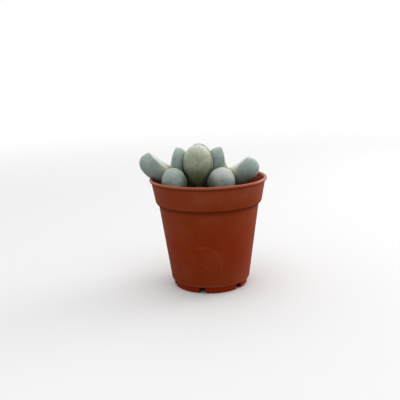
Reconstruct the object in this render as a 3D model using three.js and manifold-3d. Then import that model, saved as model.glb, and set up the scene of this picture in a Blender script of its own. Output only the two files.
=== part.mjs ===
// A small succulent with three heads of thick keeled leaves, in a round plastic nursery pot.
// Millimetres, +Z up. The origin is the middle of the pot's underside, and -Y is the front.
import * as THREE from 'three';
import { mergeVertices } from 'three/addons/utils/BufferGeometryUtils.js';
import Module from 'manifold-3d';

const wasm = await Module();
wasm.setup();

// Driving dimensions of the pot
const potHeight = 51.5;
const rimRadius = 27.5;
const lipHeight = 1.3;
const lipProud = 0.8;
const collarHeight = 11.2;
const collarTaper = 1.8;
const collarStep = 1.4;
const wall = 0.8;
const footRadius = 17.4;
const footHeight = 3.1;
const footStep = 1.2;
const floorTop = 2.2;
const floorUnderside = 0.9;
const footRingWidth = 1.8;
const centrePadRadius = 6;
const drainCount = 6;
const drainWidth = 3.4;
const drainInnerRadius = 13.5;
const firstDrainAngle = -104;
const potEdge = 0.3;

// Driving dimensions of the potting mix: its level at the wall, its crumbly relief, and the low
// mound that it is heaped up to round the plant
const soilLevel = potHeight - 8;
const soilRelief = 0.22;
const soilWaves = [[0.9, 0.4, 0], [-0.5, 1.3, 90], [2.1, -1.7, 0]];
const soilEdgeDrop = 0.2;
const soilFlatShare = 0.97;
const moundHeight = 4;
const moundMiddle = [-4, 4];
const moundReach = [17, 15];

// Driving dimensions of the rootstock
const neckRadius = 2.1;
const neckWidening = 0.5;
const crownLevel = potHeight - 5.5;
const rootBend = [-4.4, 1.2, 35];
const rootTip = [-2.6, 0.4, 11];
const rootWidening = 1;
const rootTipRadius = 0.5;
const sideRootEnds = [[-13, 5, 22], [5, -6, 20], [3, 8, 24]];
const sideRootRadius = 1.2;
const sideRootTipRadius = 0.45;

// Space between neighbours that touch
const clearance = 0.3;

// Fineness of the faceted solids
const potSides = 56;
const soilSides = 36;
const soilRings = 7;
const rootSides = 12;
const sideRootSides = 8;
const leafSides = 20;
const leafRings = 16;
const weldDistance = 1e-4;

const finishes = {
  pot: { color: 0x7a3420, roughness: 0.45 },
  soil: { color: 0x2c2119, roughness: 0.95 },
  root: { color: 0x7b6a4c, roughness: 0.85 },
  leaf: { color: 0x93a498, roughness: 0.6 },
  youngLeaf: { color: 0x9a9d86, roughness: 0.6 },
};

const radians = THREE.MathUtils.degToRad;

// The leaves of each head. seat is the leaf's base from the head's crown, facing is the compass
// angle that the leaf points to, pitch is its rise, and the rest are sizes along the leaf:
// bend curls the tip outwards, drop rounds the tip down, and heel thickens the joined base.
// keel sharpens the ridge of the back, and baseWidth and baseDepth are the shares of the widest
// place's width and depth that the leaf keeps at its base.
const heads = [
  {
    name: 'centre_head',
    crown: [-4.5, -1.6, crownLevel],
    leaves: [
      { name: 'front_leaf', seat: [-0.2, -0.3, 1.7], facing: -88, pitch: 88, length: 19.4,
        halfWidth: 6.8, depth: 5.9, widest: 0.55, bend: 0, drop: 0.9, heel: 0, baseWidth: 0.5,
        young: true },
      { name: 'back_leaf', seat: [0.6, 0.1, 0], facing: 91, pitch: 91, length: 21.4,
        halfWidth: 6.4, depth: 6.3, widest: 0.59, bend: 0, drop: 0.9, heel: 0, baseWidth: 1,
        young: true },
    ],
  },
  {
    name: 'left_head',
    crown: [-17.2, 2.6, crownLevel],
    leaves: [
      { name: 'inner_leaf', seat: [0.2, 0.4, -0.7], facing: -8, pitch: 85, length: 20.2,
        halfWidth: 6.1, depth: 7.3, widest: 0.65, bend: 0.3, drop: 0.8, heel: 1.1, keel: 0.3,
        baseDepth: 1.3 },
      { name: 'outer_leaf', seat: [1.2, -0.1, 1.9], facing: 183, pitch: 70, length: 18.5,
        halfWidth: 6.4, depth: 9.6, widest: 0.56, bend: 5.6, drop: 0, heel: 1.8, keel: 0.25 },
      { name: 'front_leaf', seat: [1.7, -4.6, -2.4], facing: -96, pitch: 67, length: 14.6,
        halfWidth: 6.0, depth: 6.4, widest: 0.46, bend: -0.6, drop: 0.4, heel: 2.6, keel: 0.15 },
      { name: 'back_leaf', seat: [1.2, 4.9, -2.4], facing: 86, pitch: 58, length: 13.4,
        halfWidth: 6.0, depth: 6.2, widest: 0.46, bend: 0.2, drop: 0.4, heel: 2.6, keel: 0.15 },
    ],
  },
  {
    name: 'right_head',
    crown: [9.6, 2.6, crownLevel],
    leaves: [
      { name: 'inner_leaf', seat: [-2.2, 0.4, -0.5], facing: 187, pitch: 87.5, length: 19.5,
        halfWidth: 5.9, depth: 7.3, widest: 0.73, bend: -0.1, drop: 0.6, heel: 2.1, keel: 0.3,
        baseDepth: 1.2 },
      { name: 'outer_leaf', seat: [1.5, -0.1, 1.9], facing: -12, pitch: 73, length: 14.1,
        halfWidth: 6.2, depth: 9.6, widest: 0.53, bend: 3.6, drop: 0.8, heel: 2.6, keel: 0.25 },
      { name: 'front_leaf', seat: [-3.9, -4.6, -2.7], facing: -84, pitch: 66, length: 14.9,
        halfWidth: 6.5, depth: 6.4, widest: 0.45, bend: 0, drop: 0.1, heel: 2.6, keel: 0.15 },
      { name: 'back_leaf', seat: [-0.6, 4.9, -2.6], facing: 93, pitch: 54, length: 12.6,
        halfWidth: 6.0, depth: 6.2, widest: 0.46, bend: 0.2, drop: 0.4, heel: 2.6, keel: 0.15 },
    ],
  },
];

// Shape shared by every leaf: the values where the table gives none, how blunt both ends are, how
// much the flat face swells in the middle, where along the leaf the heel fades, and the share of
// the keel's sharpness at the base.
const plainBaseWidth = 0.55;
const plainBaseDepth = 0.5;
const plainKeel = 0.1;
const baseBluntness = 0.3;
const chinBluntness = 0.9;
const faceSwell = 0.9;
const youngFaceSwell = 0.3;
const faceFlatness = 0.7;
const heelStart = 0.42;
const heelEnd = 0.74;
const keelBaseShare = 0.3;

function toSolid(geometry) {
  const bare = geometry.index ? geometry.clone() : geometry;
  bare.deleteAttribute('normal');
  bare.deleteAttribute('uv');
  const merged = mergeVertices(bare, weldDistance);
  return new wasm.Manifold(new wasm.Mesh({
    numProp: 3,
    vertProperties: new Float32Array(merged.attributes.position.array),
    triVerts: new Uint32Array(merged.index.array),
  }));
}

function toGeometry(solid) {
  const mesh = solid.getMesh();
  const geometry = new THREE.BufferGeometry();
  const position = new Float32Array(mesh.numVert * 3);
  for (let i = 0; i < mesh.numVert; i++) {
    for (let k = 0; k < 3; k++) position[3 * i + k] = mesh.vertProperties[mesh.numProp * i + k];
  }
  geometry.setAttribute('position', new THREE.BufferAttribute(position, 3));
  geometry.setIndex(new THREE.BufferAttribute(new Uint32Array(mesh.triVerts), 1));
  geometry.computeVertexNormals();
  return geometry;
}

function piece(name, geometry, finish) {
  const mesh = new THREE.Mesh(geometry, new THREE.MeshStandardMaterial(finish));
  mesh.name = name;
  return mesh;
}

// Turns a shape made about the Y axis so that the axis stands upright.
function lathe(points, sides) {
  const outline = points.map(([radius, height]) => new THREE.Vector2(radius, height));
  return new THREE.LatheGeometry(outline, sides).rotateX(Math.PI / 2);
}

// Heights and outer radii of the collar and the body
const collarTop = potHeight - lipHeight;
const collarBottom = potHeight - collarHeight;
const collarTopRadius = rimRadius - lipProud;
const collarBottomRadius = collarTopRadius - collarTaper;
const bodyTop = collarBottom - collarStep;
const bodyTopRadius = collarBottomRadius - collarStep;
const bodyBottomRadius = footRadius + footStep;

// Radius of the pot's inside at a height, in the collar or in the body under it
function innerRadius(height) {
  if (height > bodyTop + wall) {
    const share = (height - bodyTop - wall) / (collarTop - bodyTop - wall);
    return THREE.MathUtils.lerp(collarBottomRadius, collarTopRadius, share) - wall;
  }
  const share = (height - footHeight) / (bodyTop - footHeight);
  return THREE.MathUtils.lerp(bodyBottomRadius, bodyTopRadius, share) - wall;
}

// The pot is a turned outline, from the middle of its underside round to the middle of its floor,
// with slots cut through the foot ring and the floor's edge.
function makePot() {
  const ringInner = footRadius - footRingWidth;
  const outline = [
    [0, 0],
    [centrePadRadius, 0],
    [centrePadRadius + floorUnderside, floorUnderside],
    [ringInner - potEdge, floorUnderside],
    [ringInner, 0],
    [footRadius - potEdge, 0],
    [footRadius, potEdge],
    [footRadius + potEdge, footHeight - potEdge],
    [bodyBottomRadius - potEdge, footHeight],
    [bodyBottomRadius, footHeight + potEdge],
    [bodyTopRadius, bodyTop],
    [collarBottomRadius, collarBottom],
    [collarTopRadius, collarTop],
    [rimRadius - potEdge, collarTop],
    [rimRadius, collarTop + potEdge],
    [rimRadius, potHeight - potEdge],
    [rimRadius - potEdge, potHeight],
    [collarTopRadius - wall + potEdge, potHeight],
    [innerRadius(collarTop), collarTop],
    [innerRadius(collarBottom), collarBottom],
    [innerRadius(bodyTop), bodyTop],
    [innerRadius(footHeight), footHeight + potEdge],
    [bodyBottomRadius - wall - 2 * potEdge, floorTop],
    [0, floorTop],
  ];
  let solid = toSolid(lathe(outline, potSides));
  const length = rimRadius - drainInnerRadius;
  for (let i = 0; i < drainCount; i++) {
    const slot = new THREE.BoxGeometry(length, drainWidth, 2 * footHeight);
    slot.translate(drainInnerRadius + length / 2, 0, -potEdge);
    slot.rotateZ(radians(firstDrainAngle + i * 360 / drainCount));
    solid = solid.subtract(toSolid(slot));
  }
  return solid;
}

// A round limb between two points, with domed ends. dome is the height of a dome, as a share of
// its radius, shoulder is the share of the radius at half that height, and the limb runs
// straight between the domes' inner ends.
function limb(from, to, startRadius, endRadius, sides) {
  const start = new THREE.Vector3(...from);
  const along = new THREE.Vector3(...to).sub(start);
  const length = along.length();
  const [dome, shoulder, straightStart, straightEnd] = [0.6, 0.75, 0.1, 0.9];
  const points = [
    [0, -dome * startRadius],
    [shoulder * startRadius, -dome * startRadius / 2],
    [startRadius, straightStart * length],
    [endRadius, straightEnd * length],
    [shoulder * endRadius, length + dome * endRadius / 2],
    [0, length + dome * endRadius],
  ].map(([radius, height]) => new THREE.Vector2(radius, height));
  const geometry = new THREE.LatheGeometry(points, sides);
  const up = new THREE.Vector3(0, 1, 0);
  geometry.applyQuaternion(new THREE.Quaternion().setFromUnitVectors(up, along.normalize()));
  return toSolid(geometry.translate(...from));
}

// The taproot under the soil, with a neck that rises to each head and three side roots. grow
// makes it thicker all round.
function makeRootstock(grow = 0) {
  let solid = limb(rootBend, rootTip, neckRadius + rootWidening + grow, rootTipRadius + grow, rootSides);
  for (const head of heads) {
    const neckStart = neckRadius + neckWidening + grow;
    solid = solid.add(limb(rootBend, head.crown, neckStart, neckRadius + grow, rootSides));
  }
  for (const end of sideRootEnds) {
    solid = solid.add(
      limb(rootBend, end, sideRootRadius + grow, sideRootTipRadius + grow, sideRootSides));
  }
  return solid;
}

// A sphere is drawn out into a leaf: a flat face above, a round keeled back below, narrow and
// thick at the base, and blunt at the tip. toTip is -1 at the base, 0 at the widest place and 1
// at the tip. grow makes the leaf larger all round.
function leafSolid(leaf, crown, grow = 0) {
  const geometry = new THREE.SphereGeometry(1, leafSides, leafRings).rotateZ(-Math.PI / 2);
  const position = geometry.attributes.position;
  const widest = leaf.widest * leaf.length;
  const widthShare = leaf.baseWidth ?? plainBaseWidth;
  const depthShare = leaf.baseDepth ?? plainBaseDepth;
  const swell = leaf.young ? youngFaceSwell : faceSwell;
  const keel = leaf.keel ?? plainKeel;
  for (let i = 0; i < position.count; i++) {
    const toTip = position.getX(i);
    const ring = Math.hypot(position.getY(i), position.getZ(i));
    const across = ring > 1e-6 ? position.getY(i) / ring : 0;
    const up = ring > 1e-6 ? position.getZ(i) / ring : 0;
    const front = toTip > 0;
    const fill = Math.cos(Math.min(toTip, 0) * Math.PI / 2);
    const blunt = ring ** baseBluntness;
    const x = (front ? widest + (leaf.length - widest) * toTip : widest * (1 + toTip)) + grow * toTip;
    const share = THREE.MathUtils.clamp(x / leaf.length, 0, 1);
    const width = grow * blunt + leaf.halfWidth
      * (front ? ring : (widthShare + (1 - widthShare) * fill) * blunt);
    const depth = grow * blunt + leaf.depth
      * (front ? ring ** chinBluntness : (depthShare + (1 - depthShare) * fill) * blunt);
    const heel = leaf.heel * (1 - THREE.MathUtils.smoothstep(share, heelStart, heelEnd));
    const height = (swell + heel + grow) * Math.sqrt(ring);
    const sharp = keel * (keelBaseShare + (1 - keelBaseShare) * share);
    const side = up >= 0 ? across : (1 - sharp) * across + sharp * Math.sign(across) * (1 + up);
    const tip = Math.max(0, toTip) ** 3 * leaf.drop + leaf.bend * share * share;
    const z = (up >= 0 ? height * up ** faceFlatness : depth * up) - tip;
    position.setXYZ(i, x, width * side, z);
  }
  const facing = radians(leaf.facing);
  const pitch = radians(leaf.pitch);
  const forward = new THREE.Vector3(Math.cos(pitch) * Math.cos(facing),
    Math.cos(pitch) * Math.sin(facing), Math.sin(pitch));
  const face = new THREE.Vector3(-Math.sin(pitch) * Math.cos(facing),
    -Math.sin(pitch) * Math.sin(facing), Math.cos(pitch));
  const sideways = face.clone().cross(forward);
  geometry.applyMatrix4(new THREE.Matrix4().makeBasis(forward, sideways, face));
  geometry.translate(crown[0] + leaf.seat[0], crown[1] + leaf.seat[1], crown[2] + leaf.seat[2]);
  return toSolid(geometry);
}

// Height of the potting mix at a place: its level, the mound round the plant and the relief
function soilHeight(x, y) {
  const away = Math.hypot((x - moundMiddle[0]) / moundReach[0], (y - moundMiddle[1]) / moundReach[1]);
  const mound = moundHeight * (1 - THREE.MathUtils.smoothstep(away, 0, 1));
  let waves = 0;
  for (const [alongX, alongY, phase] of soilWaves) {
    waves += Math.sin(alongX * x + alongY * y + radians(phase));
  }
  return soilLevel + mound + soilRelief * waves;
}

// The potting mix fills the pot up to its surface.
function makeSoil() {
  const reach = innerRadius(soilLevel) - clearance;
  const cornerChamfer = 4 * clearance;
  const outline = [
    [0, floorTop + clearance],
    [innerRadius(footHeight) - cornerChamfer, floorTop + clearance],
    [innerRadius(footHeight) - clearance, footHeight + cornerChamfer],
    [innerRadius(bodyTop) - clearance, bodyTop],
    [innerRadius(collarBottom) - clearance, collarBottom],
    [reach, soilLevel - soilEdgeDrop],
  ];
  for (let i = 1; i <= soilRings; i++) {
    outline.push([soilFlatShare * reach * (1 - i / soilRings), soilLevel]);
  }
  const geometry = lathe(outline, soilSides);
  const position = geometry.attributes.position;
  for (let i = 0; i < position.count; i++) {
    const onTop = position.getZ(i) > soilLevel - soilEdgeDrop / 2;
    if (onTop) position.setZ(i, soilHeight(position.getX(i), position.getY(i)));
  }
  return toSolid(geometry);
}

// The room that the collar's wall takes, and a little round it, for the leaves to keep clear of
function makeRoomForPot() {
  const bottom = soilLevel - collarStep;
  return toSolid(lathe([
    [innerRadius(soilLevel) - clearance, bottom],
    [rimRadius + clearance, bottom],
    [rimRadius + clearance, potHeight + clearance],
    [innerRadius(collarTop) - clearance, potHeight + clearance],
    [innerRadius(collarTop) - 2 * clearance, collarTop],
    [innerRadius(soilLevel) - clearance, bottom],
  ], potSides));
}

// Each leaf makes way for the leaves before it in the list, so that neighbours only touch.
const plant = new THREE.Group();
const roomForRoot = makeRootstock(clearance);
let soil = makeSoil().subtract(roomForRoot);
let taken = roomForRoot.add(makeRoomForPot());
for (const head of heads) {
  const group = new THREE.Group();
  group.position.set(...head.crown);
  for (const leaf of head.leaves) {
    const solid = leafSolid(leaf, head.crown).subtract(taken);
    const grown = leafSolid(leaf, head.crown, clearance);
    taken = taken.add(grown);
    soil = soil.subtract(grown);
    const geometry = toGeometry(solid).translate(...head.crown.map((value) => -value));
    const finish = leaf.young ? finishes.youngLeaf : finishes.leaf;
    group.add(piece(`${head.name}_${leaf.name}`, geometry, finish));
  }
  plant.add(group);
}

const pottedPlant = new THREE.Group();
pottedPlant.add(piece('pot', toGeometry(makePot()), finishes.pot));
pottedPlant.add(piece('soil', toGeometry(soil), finishes.soil));
pottedPlant.add(piece('rootstock', toGeometry(makeRootstock()), finishes.root));
pottedPlant.add(plant);

export default pottedPlant;
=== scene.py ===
"""Potted karoo rose: a small succulent with three heads of thick keeled leaves in a nursery pot.

Run as a script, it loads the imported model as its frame, builds every finer piece with an operator
of its own, and lights it on a pale floor. The sidebar lists the operators, sizes and colours.
"""

import math
import random
from dataclasses import dataclass

import bmesh
import bpy
from bpy.props import FloatProperty, FloatVectorProperty, IntProperty, PointerProperty, StringProperty
from bpy.types import Operator, Panel, PropertyGroup
from mathutils import Matrix, Vector, noise
from mathutils.bvhtree import BVHTree


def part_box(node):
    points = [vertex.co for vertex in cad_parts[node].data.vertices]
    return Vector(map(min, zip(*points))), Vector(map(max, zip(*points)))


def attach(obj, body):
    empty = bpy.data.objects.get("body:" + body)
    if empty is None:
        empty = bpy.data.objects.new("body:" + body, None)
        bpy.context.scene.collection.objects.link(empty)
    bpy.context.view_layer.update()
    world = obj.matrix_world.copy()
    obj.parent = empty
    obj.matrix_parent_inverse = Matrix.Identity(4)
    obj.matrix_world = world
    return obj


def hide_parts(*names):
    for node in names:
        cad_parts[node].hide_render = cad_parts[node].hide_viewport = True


bl_info = {
    "name": "Potted Karoo Rose",
    "version": (1, 0, 0),
    "blender": (4, 5, 0),
    "location": "3D View > Sidebar > Karoo Rose",
    "description": "Builds a potted karoo rose with waxy leaves, potting mix and a moulded plastic pot",
    "category": "Add Mesh",
}

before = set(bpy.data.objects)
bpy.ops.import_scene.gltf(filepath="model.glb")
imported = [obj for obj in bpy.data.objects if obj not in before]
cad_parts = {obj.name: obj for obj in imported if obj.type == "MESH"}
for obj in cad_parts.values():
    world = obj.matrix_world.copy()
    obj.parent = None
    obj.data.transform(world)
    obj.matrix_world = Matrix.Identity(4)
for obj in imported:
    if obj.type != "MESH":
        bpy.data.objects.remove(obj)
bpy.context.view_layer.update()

MM = 0.001
BODY = "root"
POT_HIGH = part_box("pot")[1]
RIM_MIDDLE = Vector((0, 0, POT_HIGH.z))

# Height of the rim in millimetres, from which the heights of the soil and the heads follow
RIM_LEVEL = POT_HIGH.z / MM

# Rounding of a plain edge, the steps that it is drawn in, and how near to each other doubles lie
EDGE_ROUNDING = 0.3 * MM
ROUNDING_STEPS = 4
DOUBLES_WITHIN = 1e-6


def length(name, description, millimetres):
    """A length in the add-on's settings, given here in millimetres."""
    return FloatProperty(
        name=name, description=description, default=millimetres * MM, precision=5, unit="LENGTH")


def angle(name, description, degrees):
    """An angle in the add-on's settings, given here in degrees."""
    return FloatProperty(
        name=name, description=description, default=math.radians(degrees), subtype="ANGLE")


def amount(name, description, value):
    """A plain number in the add-on's settings."""
    return FloatProperty(name=name, description=description, default=value, min=0, precision=3)


def count(name, description, number, least=0):
    """A whole number in the add-on's settings."""
    return IntProperty(name=name, description=description, default=number, min=least)


def colour(name, description, red, green, blue):
    """A colour in the add-on's settings, given here as a colour picker shows it, from 0 to 255."""
    linear = [((part / 255 + 0.055) / 1.055) ** 2.4 for part in (red, green, blue)]
    return FloatVectorProperty(
        name=name, description=description, default=linear, size=3, min=0, max=1, subtype="COLOR")


class PotSettings(PropertyGroup):
    """Sizes and colours of the plastic pot."""

    rim_radius: length("Rim radius", "Outside radius of the lip", POT_HIGH.x / MM)
    height: length("Height", "From the surface it stands on to the top of the lip", POT_HIGH.z / MM)
    lip_height: length("Lip height", "Height of the rolled lip", 1.3)
    lip_proud: length("Lip overhang", "How far the lip stands out from the collar", 0.8)
    collar_height: length("Collar height", "From the top of the lip to the collar's lower edge", 11.2)
    collar_taper: length("Collar taper", "How much the collar narrows downwards", 1.8)
    collar_step: length("Collar step", "Width and height of the step under the collar", 1.4)
    wall: length("Wall", "Thickness of the wall", 0.8)
    foot_radius: length("Foot radius", "Outside radius of the foot ring", 17.4)
    foot_height: length("Foot height", "Height of the foot ring", 3.1)
    foot_step: length("Foot step", "How far the body stands out over the foot ring", 1.2)
    foot_ring_width: length("Foot ring width", "Width of the ring that the pot stands on", 1.8)
    floor_top: length("Floor", "Height of the pot's floor inside", 2.2)
    floor_underside: length("Underside", "Height of the floor's underside over the foot ring", 0.9)
    centre_pad_radius: length("Centre pad", "Radius of the pad in the middle of the underside", 6.0)
    drain_width: length("Drain width", "Width of a drain slot", 3.4)
    drain_inner_radius: length("Drain reach", "Radius at which a drain slot begins", 13.5)
    drain_count: count("Drain slots", "Drain slots round the foot", 6)
    first_drain: angle("First drain", "Compass angle of the first drain slot", -104)
    plastic: colour("Plastic", "Terracotta-coloured plastic", 142, 56, 21)
    # Also the colour of the painted sheen on the collar and of the painted highlights on the lip and on
    # the ledge over the foot
    faded_and_sheen: colour("Faded plastic", "The same plastic where it has rubbed and faded", 176, 110, 88)
    glow: colour("Low glow", "The thin lower wall and foot, where light comes through", 150, 38, 3)
    # Also the colour of the painted shade in the creases and inside the collar
    shade_and_dirt: colour("Dirt", "Dirt in the creases and dried specks", 64, 15, 4)

    # Heights and outside radii that follow from the sizes
    collar_top = property(lambda pot: pot.height - pot.lip_height)
    collar_bottom = property(lambda pot: pot.height - pot.collar_height)
    body_top = property(lambda pot: pot.collar_bottom - pot.collar_step)
    collar_top_radius = property(lambda pot: pot.rim_radius - pot.lip_proud)
    collar_bottom_radius = property(lambda pot: pot.collar_top_radius - pot.collar_taper)
    body_top_radius = property(lambda pot: pot.collar_bottom_radius - pot.collar_step)
    body_bottom_radius = property(lambda pot: pot.foot_radius + pot.foot_step)


class SoilSettings(PropertyGroup):
    """Sizes and colours of the potting mix."""

    level: length("Level", "Height of the potting mix", RIM_LEVEL - 8.0)
    mound: length("Mound", "How high the mix is heaped up round the plant", 4.0)
    relief: length("Relief", "Height of the crumbly relief", 0.65)
    crumb_count: count("Crumbs", "Loose crumbs and grit", 1500)
    crumb_size: length("Crumb size", "Radius of the largest crumbs", 0.95)
    peat: colour("Peat", "Dark damp potting mix", 34, 26, 19)
    peat_dry: colour("Dry peat", "Potting mix where it has dried", 84, 64, 46)
    # Colour of the painted shade on the potting mix where neighbours crowd it
    shaded_peat: colour("Damp peat", "Potting mix that stays damp under the leaves", 14, 11, 8)
    bark: colour("Bark", "Chips of bark", 88, 56, 34)
    pumice: colour("Pumice", "Pale mineral grit", 196, 186, 166)


class RootSettings(PropertyGroup):
    """Sizes and colours of the woody rootstock."""

    neck_radius: length("Neck radius", "Radius of the neck under each head", 2.1)
    bark_relief: length("Bark relief", "Height of the bark's ridges", 0.12)
    bark_light: colour("Bark", "Dry corky bark", 158, 134, 98)
    bark_dark: colour("Bark creases", "Creases of the bark", 84, 62, 40)


class LeafSettings(PropertyGroup):
    """Sizes and colours shared by the leaves."""

    unevenness: length("Unevenness", "Height of the slow swellings of the skin", 0.16)
    margin_softening: count("Margin softening", "How many times the margins are smoothed", 12)
    contact_gap: length("Contact gap", "Space between leaves that press on each other", 0.03)
    skin: colour("Skin", "Grey-green skin under the wax", 148, 165, 158)
    skin_deep: colour("Deep skin", "Greener patches of the skin", 136, 155, 148)
    blush: colour("Blush", "Pinkish grey mottling", 178, 172, 166)
    # Also the colour of the painted highlights on the front leaves' noses
    wax_and_highlight: colour("Wax", "Pale waxy bloom on the flat face and the tip", 198, 205, 199)
    # Colour of the painted shade where neighbours crowd, also of broad darker patches
    deep_green_and_shade: colour("Crowded skin", "Dark green skin where neighbours press close", 42, 56, 25)
    heart: colour("Heart", "Yellow-green skin in the cleft between two leaves", 196, 202, 160)
    margin: colour("Margin", "Pale line along the margins", 222, 220, 190)
    spot: colour("Spot", "Brown spots", 112, 86, 74)
    flush: colour("Flush", "Pinkish blotches", 172, 142, 140)
    tip: colour("Worn tip", "Brownish grey edge of the tips", 118, 108, 100)
    young_skin: colour("Young skin", "Olive grey skin of the young pair", 168, 180, 162)
    young_deep: colour("Young shade", "Browner streaks of the young pair", 152, 158, 134)
    young_wax: colour("Young wax", "Pale bloom on the young pair's shoulders", 214, 216, 203)
    # Dark green of the young base, partly painted shade
    young_base_and_shade: colour("Young base", "Dark green lower part of the young pair", 84, 98, 56)


class StageSettings(PropertyGroup):
    """The camera, the lights and the floor."""

    distance: length("Distance", "From the camera to the middle of the rim, along the view", 280.0)
    elevation: angle("Elevation", "How far the camera looks down", 12.3)
    roll: angle("Roll", "Turn of the camera about its own view", -1.8)
    aim_right: length("Rim to the right", "Place of the rim's middle, right of the view's centre", 3.77)
    aim_up: length("Rim above", "Place of the rim's middle, above the view's centre", 11.03)
    lens: FloatProperty(
        name="Lens", description="Focal length on a 36 mm sensor", default=53.73, unit="CAMERA")
    floor_radius: length("Floor radius", "Radius of the round floor", 1500.0)
    floor_fade: length("Floor fade", "Radius where the floor begins to melt away", 110.0)
    backdrop: amount("Backdrop", "Brightness of the backdrop as the camera sees it", 1.0)
    overhead_power: amount("Overhead light", "Watts of the soft light overhead", 0.67)
    side_power: amount("Side light", "Watts of the soft light behind on the right", 1.42)
    sky_even: amount("Even light", "Soft light from all sides", 0.64)
    sky_behind: amount("Light behind", "Further soft light from behind the plant", 0.8)
    sky_right: amount("Light on the right", "Further soft light from the right", 0.24)
    floor_colour: colour("Floor", "Plain pale floor", 222, 222, 222)
    floor_bounce: colour("Floor bounce", "Floor as the plant sees it", 140, 137, 134)


class PlantSettings(PropertyGroup):
    """Everything that can be changed on the potted karoo rose."""

    pot: PointerProperty(type=PotSettings)
    soil: PointerProperty(type=SoilSettings)
    root: PointerProperty(type=RootSettings)
    leaf: PointerProperty(type=LeafSettings)
    stage: PointerProperty(type=StageSettings)


@dataclass
class Leaf:
    """One leaf, in millimetres and degrees.

    seat is the leaf's base from its head's crown, facing is the compass angle that it points to and
    pitch is its rise. widest is how far along it is widest, as a share of its length. bend curls the
    tip outwards, drop rounds the tip down, heel thickens the joined base, keel sharpens the ridge of
    the back, and base_depth and base_width are the shares of the widest place's depth and width that
    the leaf keeps at its base. young marks the upright pair in the middle.
    """

    name: str
    seat: tuple
    facing: float
    pitch: float
    length: float
    half_width: float
    depth: float
    widest: float
    bend: float
    drop: float
    heel: float
    keel: float = 0.1
    base_depth: float = 0.5
    base_width: float = 0.55
    young: bool = False


CROWN_LEVEL = RIM_LEVEL - 5.5
CROWNS = {
    "centre_head": (-4.5, -1.6, CROWN_LEVEL),
    "left_head": (-17.2, 2.6, CROWN_LEVEL),
    "right_head": (9.6, 2.6, CROWN_LEVEL),
}
HEADS = {
    "centre_head": [
        Leaf(
            "front_leaf", (-0.2, -0.3, 1.7), -88, 88, 19.4, 6.8, 5.9, 0.55, 0, 0.9, 0,
            base_width=0.5, young=True),
        Leaf(
            "back_leaf", (0.6, 0.1, 0.0), 91, 91, 21.4, 6.4, 6.3, 0.59, 0, 0.9, 0,
            base_width=1, young=True),
    ],
    "left_head": [
        Leaf("inner_leaf", (0.2, 0.4, -0.7), -8, 85, 20.2, 6.1, 7.3, 0.65, 0.3, 0.8, 1.1, 0.3, 1.3),
        Leaf("outer_leaf", (1.2, -0.1, 1.9), 183, 70, 18.5, 6.4, 9.6, 0.56, 5.6, 0, 1.8, 0.25),
        Leaf("front_leaf", (1.7, -4.6, -2.4), -96, 67, 14.6, 6.0, 6.4, 0.46, -0.6, 0.4, 2.6, 0.15),
        Leaf("back_leaf", (1.2, 4.9, -2.4), 86, 58, 13.4, 6.0, 6.2, 0.46, 0.2, 0.4, 2.6, 0.15),
    ],
    "right_head": [
        Leaf(
            "inner_leaf", (-2.2, 0.4, -0.5), 187, 87.5, 19.5, 5.9, 7.3, 0.73, -0.1, 0.6, 2.1,
            0.3, 1.2),
        Leaf("outer_leaf", (1.5, -0.1, 1.9), -12, 73, 14.1, 6.2, 9.6, 0.53, 3.6, 0.8, 2.6, 0.25),
        Leaf("front_leaf", (-3.9, -4.6, -2.7), -84, 66, 14.9, 6.5, 6.4, 0.45, 0, 0.1, 2.6, 0.15),
        Leaf("back_leaf", (-0.6, 4.9, -2.6), 93, 54, 12.6, 6.0, 6.2, 0.46, 0.2, 0.4, 2.6, 0.15),
    ],
}

# Shape shared by every leaf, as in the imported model: powers that blunt its ends and flatten its face,
# the swell of the face in millimetres, where along the leaf the heel thins out, and the share of the
# keel at the base
BASE_BLUNTNESS, CHIN_BLUNTNESS = 0.3, 0.9
FACE_SWELL, YOUNG_FACE_SWELL = 0.9, 0.3
FACE_FLATNESS = 0.7
HEEL_START, HEEL_END = 0.42, 0.74
KEEL_AT_BASE = 0.3

# Corners round a leaf and along it, sizes in millimetres of its slow and quick swellings, and how
# high the quick ones are, as a share of the slow ones
LEAF_ROUND, LEAF_LONG = 104, 72
SLOW_SWELLING, QUICK_SWELLING, QUICK_SHARE = 5.5, 1.9, 0.22


class Signal:
    """A node socket that takes part in sums. Every operator adds a Math node."""

    def __init__(self, nodes, socket):
        self.nodes = nodes
        self.socket = socket

    def maths(self, operation, *values, clamp=False):
        """Adds a Math node that works on these values."""
        return self.nodes.node(
            "ShaderNodeMath", options={"operation": operation, "use_clamp": clamp},
            inputs=dict(enumerate(values)))

    def __add__(self, other):
        return self.maths("ADD", self, other)

    __radd__ = __add__

    def __sub__(self, other):
        return self.maths("SUBTRACT", self, other)

    def __rsub__(self, other):
        return self.maths("SUBTRACT", other, self)

    def __mul__(self, other):
        return self.maths("MULTIPLY", self, other)

    __rmul__ = __mul__

    def __abs__(self):
        return self.maths("ABSOLUTE", self)

    def clamped(self):
        """The same signal, kept from 0 to 1."""
        return self.maths("ADD", self, 0.0, clamp=True)


class Nodes:
    """The nodes of a material or of the world."""

    def __init__(self, owner):
        owner.use_nodes = True
        self.tree = owner.node_tree

    def fill(self, sockets, values):
        """Links each socket to its signal, or gives it its value."""
        for name, value in values.items():
            if isinstance(value, Signal):
                self.tree.links.new(value.socket, sockets[name])
            else:
                sockets[name].default_value = value

    def node(self, kind, output=0, options=None, inputs=None):
        """Adds a node: its options first, then the values or links of its sockets."""
        node = self.tree.nodes.new(kind)
        for name, value in (options or {}).items():
            setattr(node, name, value)
        self.fill(node.inputs, inputs or {})
        return Signal(self, node.outputs[output])

    def parts(self, vector):
        """The three numbers of a vector."""
        first = self.node("ShaderNodeSeparateXYZ", inputs={"Vector": vector})
        return [Signal(self, output) for output in first.socket.node.outputs]


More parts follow.
